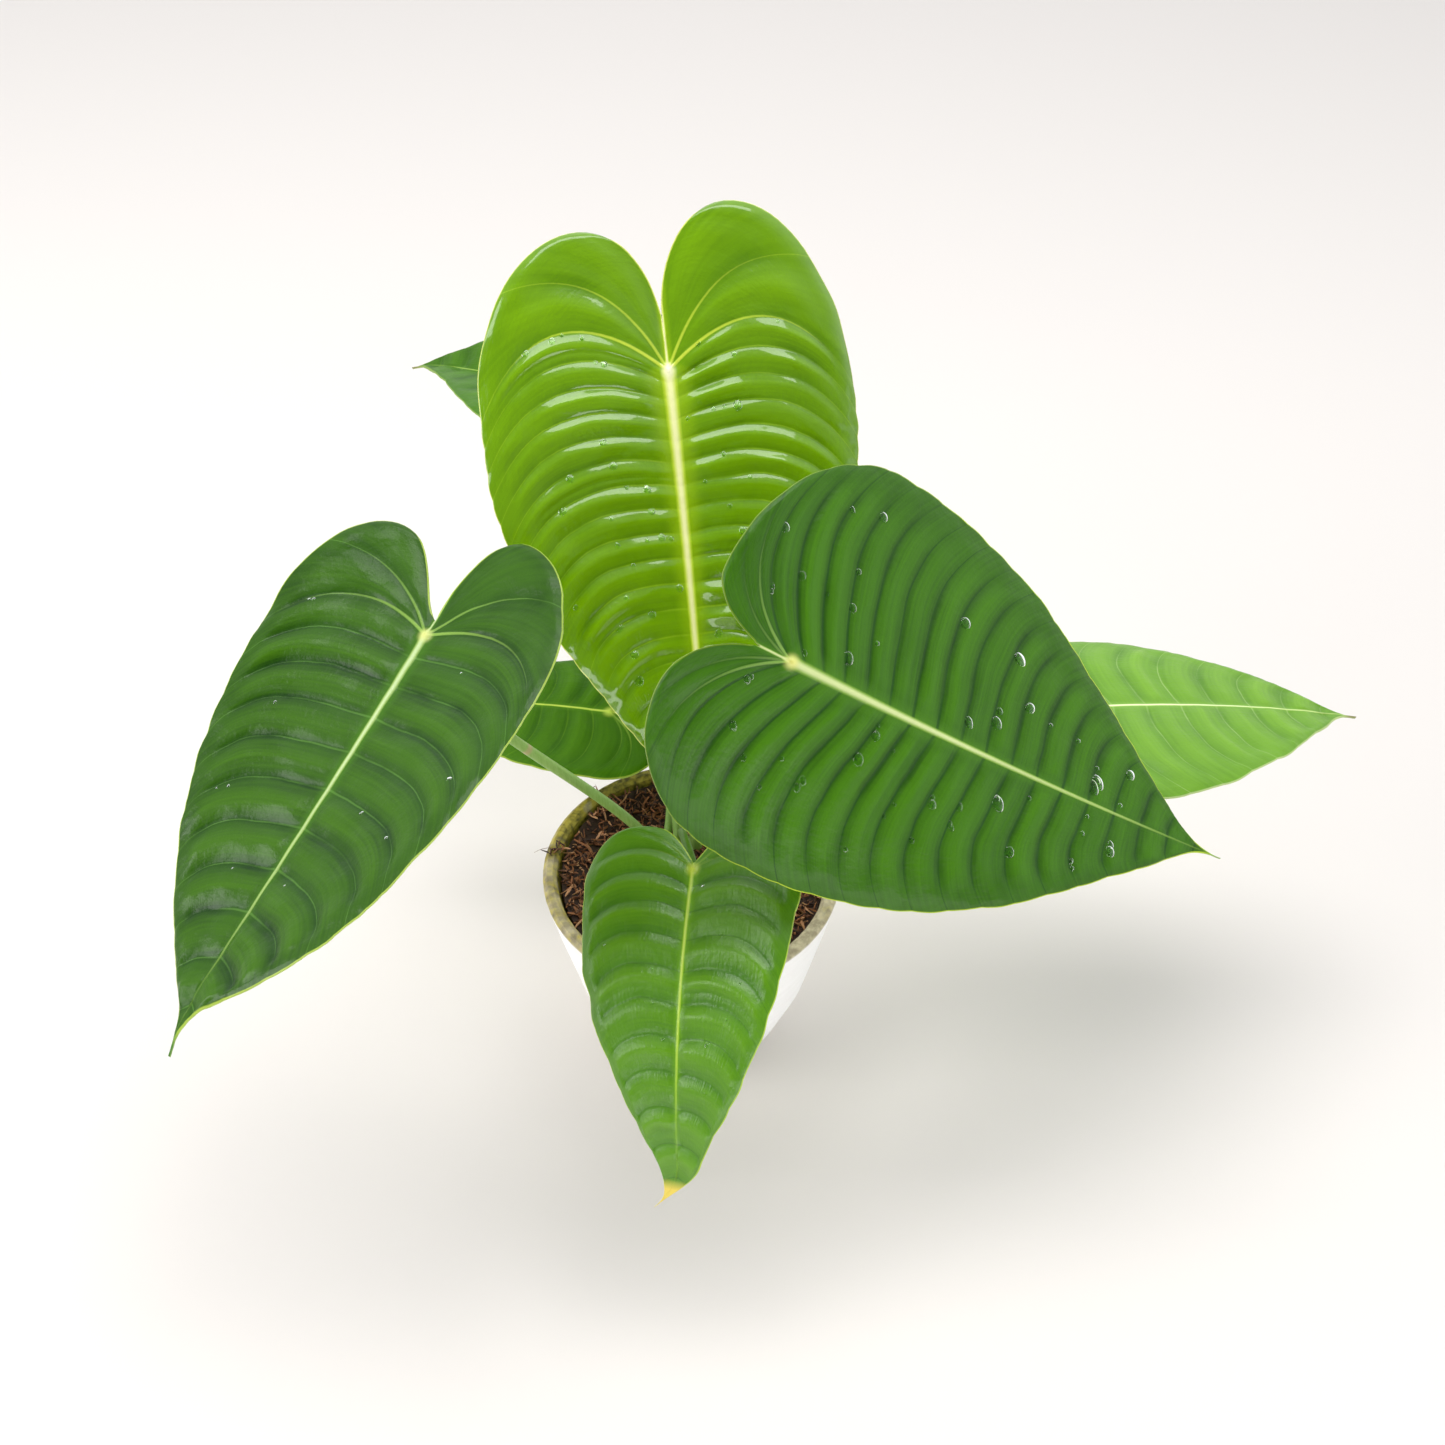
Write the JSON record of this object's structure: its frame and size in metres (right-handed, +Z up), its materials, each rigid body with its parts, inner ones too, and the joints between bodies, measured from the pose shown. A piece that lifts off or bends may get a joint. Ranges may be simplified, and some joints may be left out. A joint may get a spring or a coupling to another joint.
{
  "type": "potted king anthurium",
  "caption": "Potted king anthurium: long heart-shaped pleated leaves with drip tips on thin stalks, standing in husk potting mix in a round white pot.",
  "frame": {"origin": "middle of the pot's round foot, on the surface that the pot stands on", "axes": "+Z up along the pot's axis, -Y towards the viewer of the front, +X to that viewer's right"},
  "size_m": [0.545, 0.4772, 0.404],
  "materials": {
    "pot_clay": "matt off-white with olive algae on the rim",
    "coco_husk": "rough damp husk chips",
    "crown_bark": "rough fibrous",
    "leaf_stalk": "satin pale green",
    "leaf_dark": "glossy dark green",
    "leaf_young": "wet-looking bright yellow-green"
  },
  "bodies": {
    "root": {"pot": "pot_clay", "potting_mix": "coco_husk", "crown": "crown_bark", "leaf_blade_back": "leaf_young", "leaf_blade_left": "leaf_dark", "leaf_blade_front_right": "leaf_dark", "leaf_blade_front_low": "leaf_dark", "leaf_blade_right": "leaf_dark", "leaf_blade_rear_left": "leaf_dark", "leaf_blade_low_left": "leaf_dark", "leaf_stalk_back": "leaf_stalk", "leaf_stalk_left": "leaf_stalk", "leaf_stalk_front_right": "leaf_stalk", "leaf_stalk_front_low": "leaf_stalk", "leaf_stalk_right": "leaf_stalk", "leaf_stalk_rear_left": "leaf_stalk", "leaf_stalk_low_left": "leaf_stalk"}
  },
  "joints": []
}
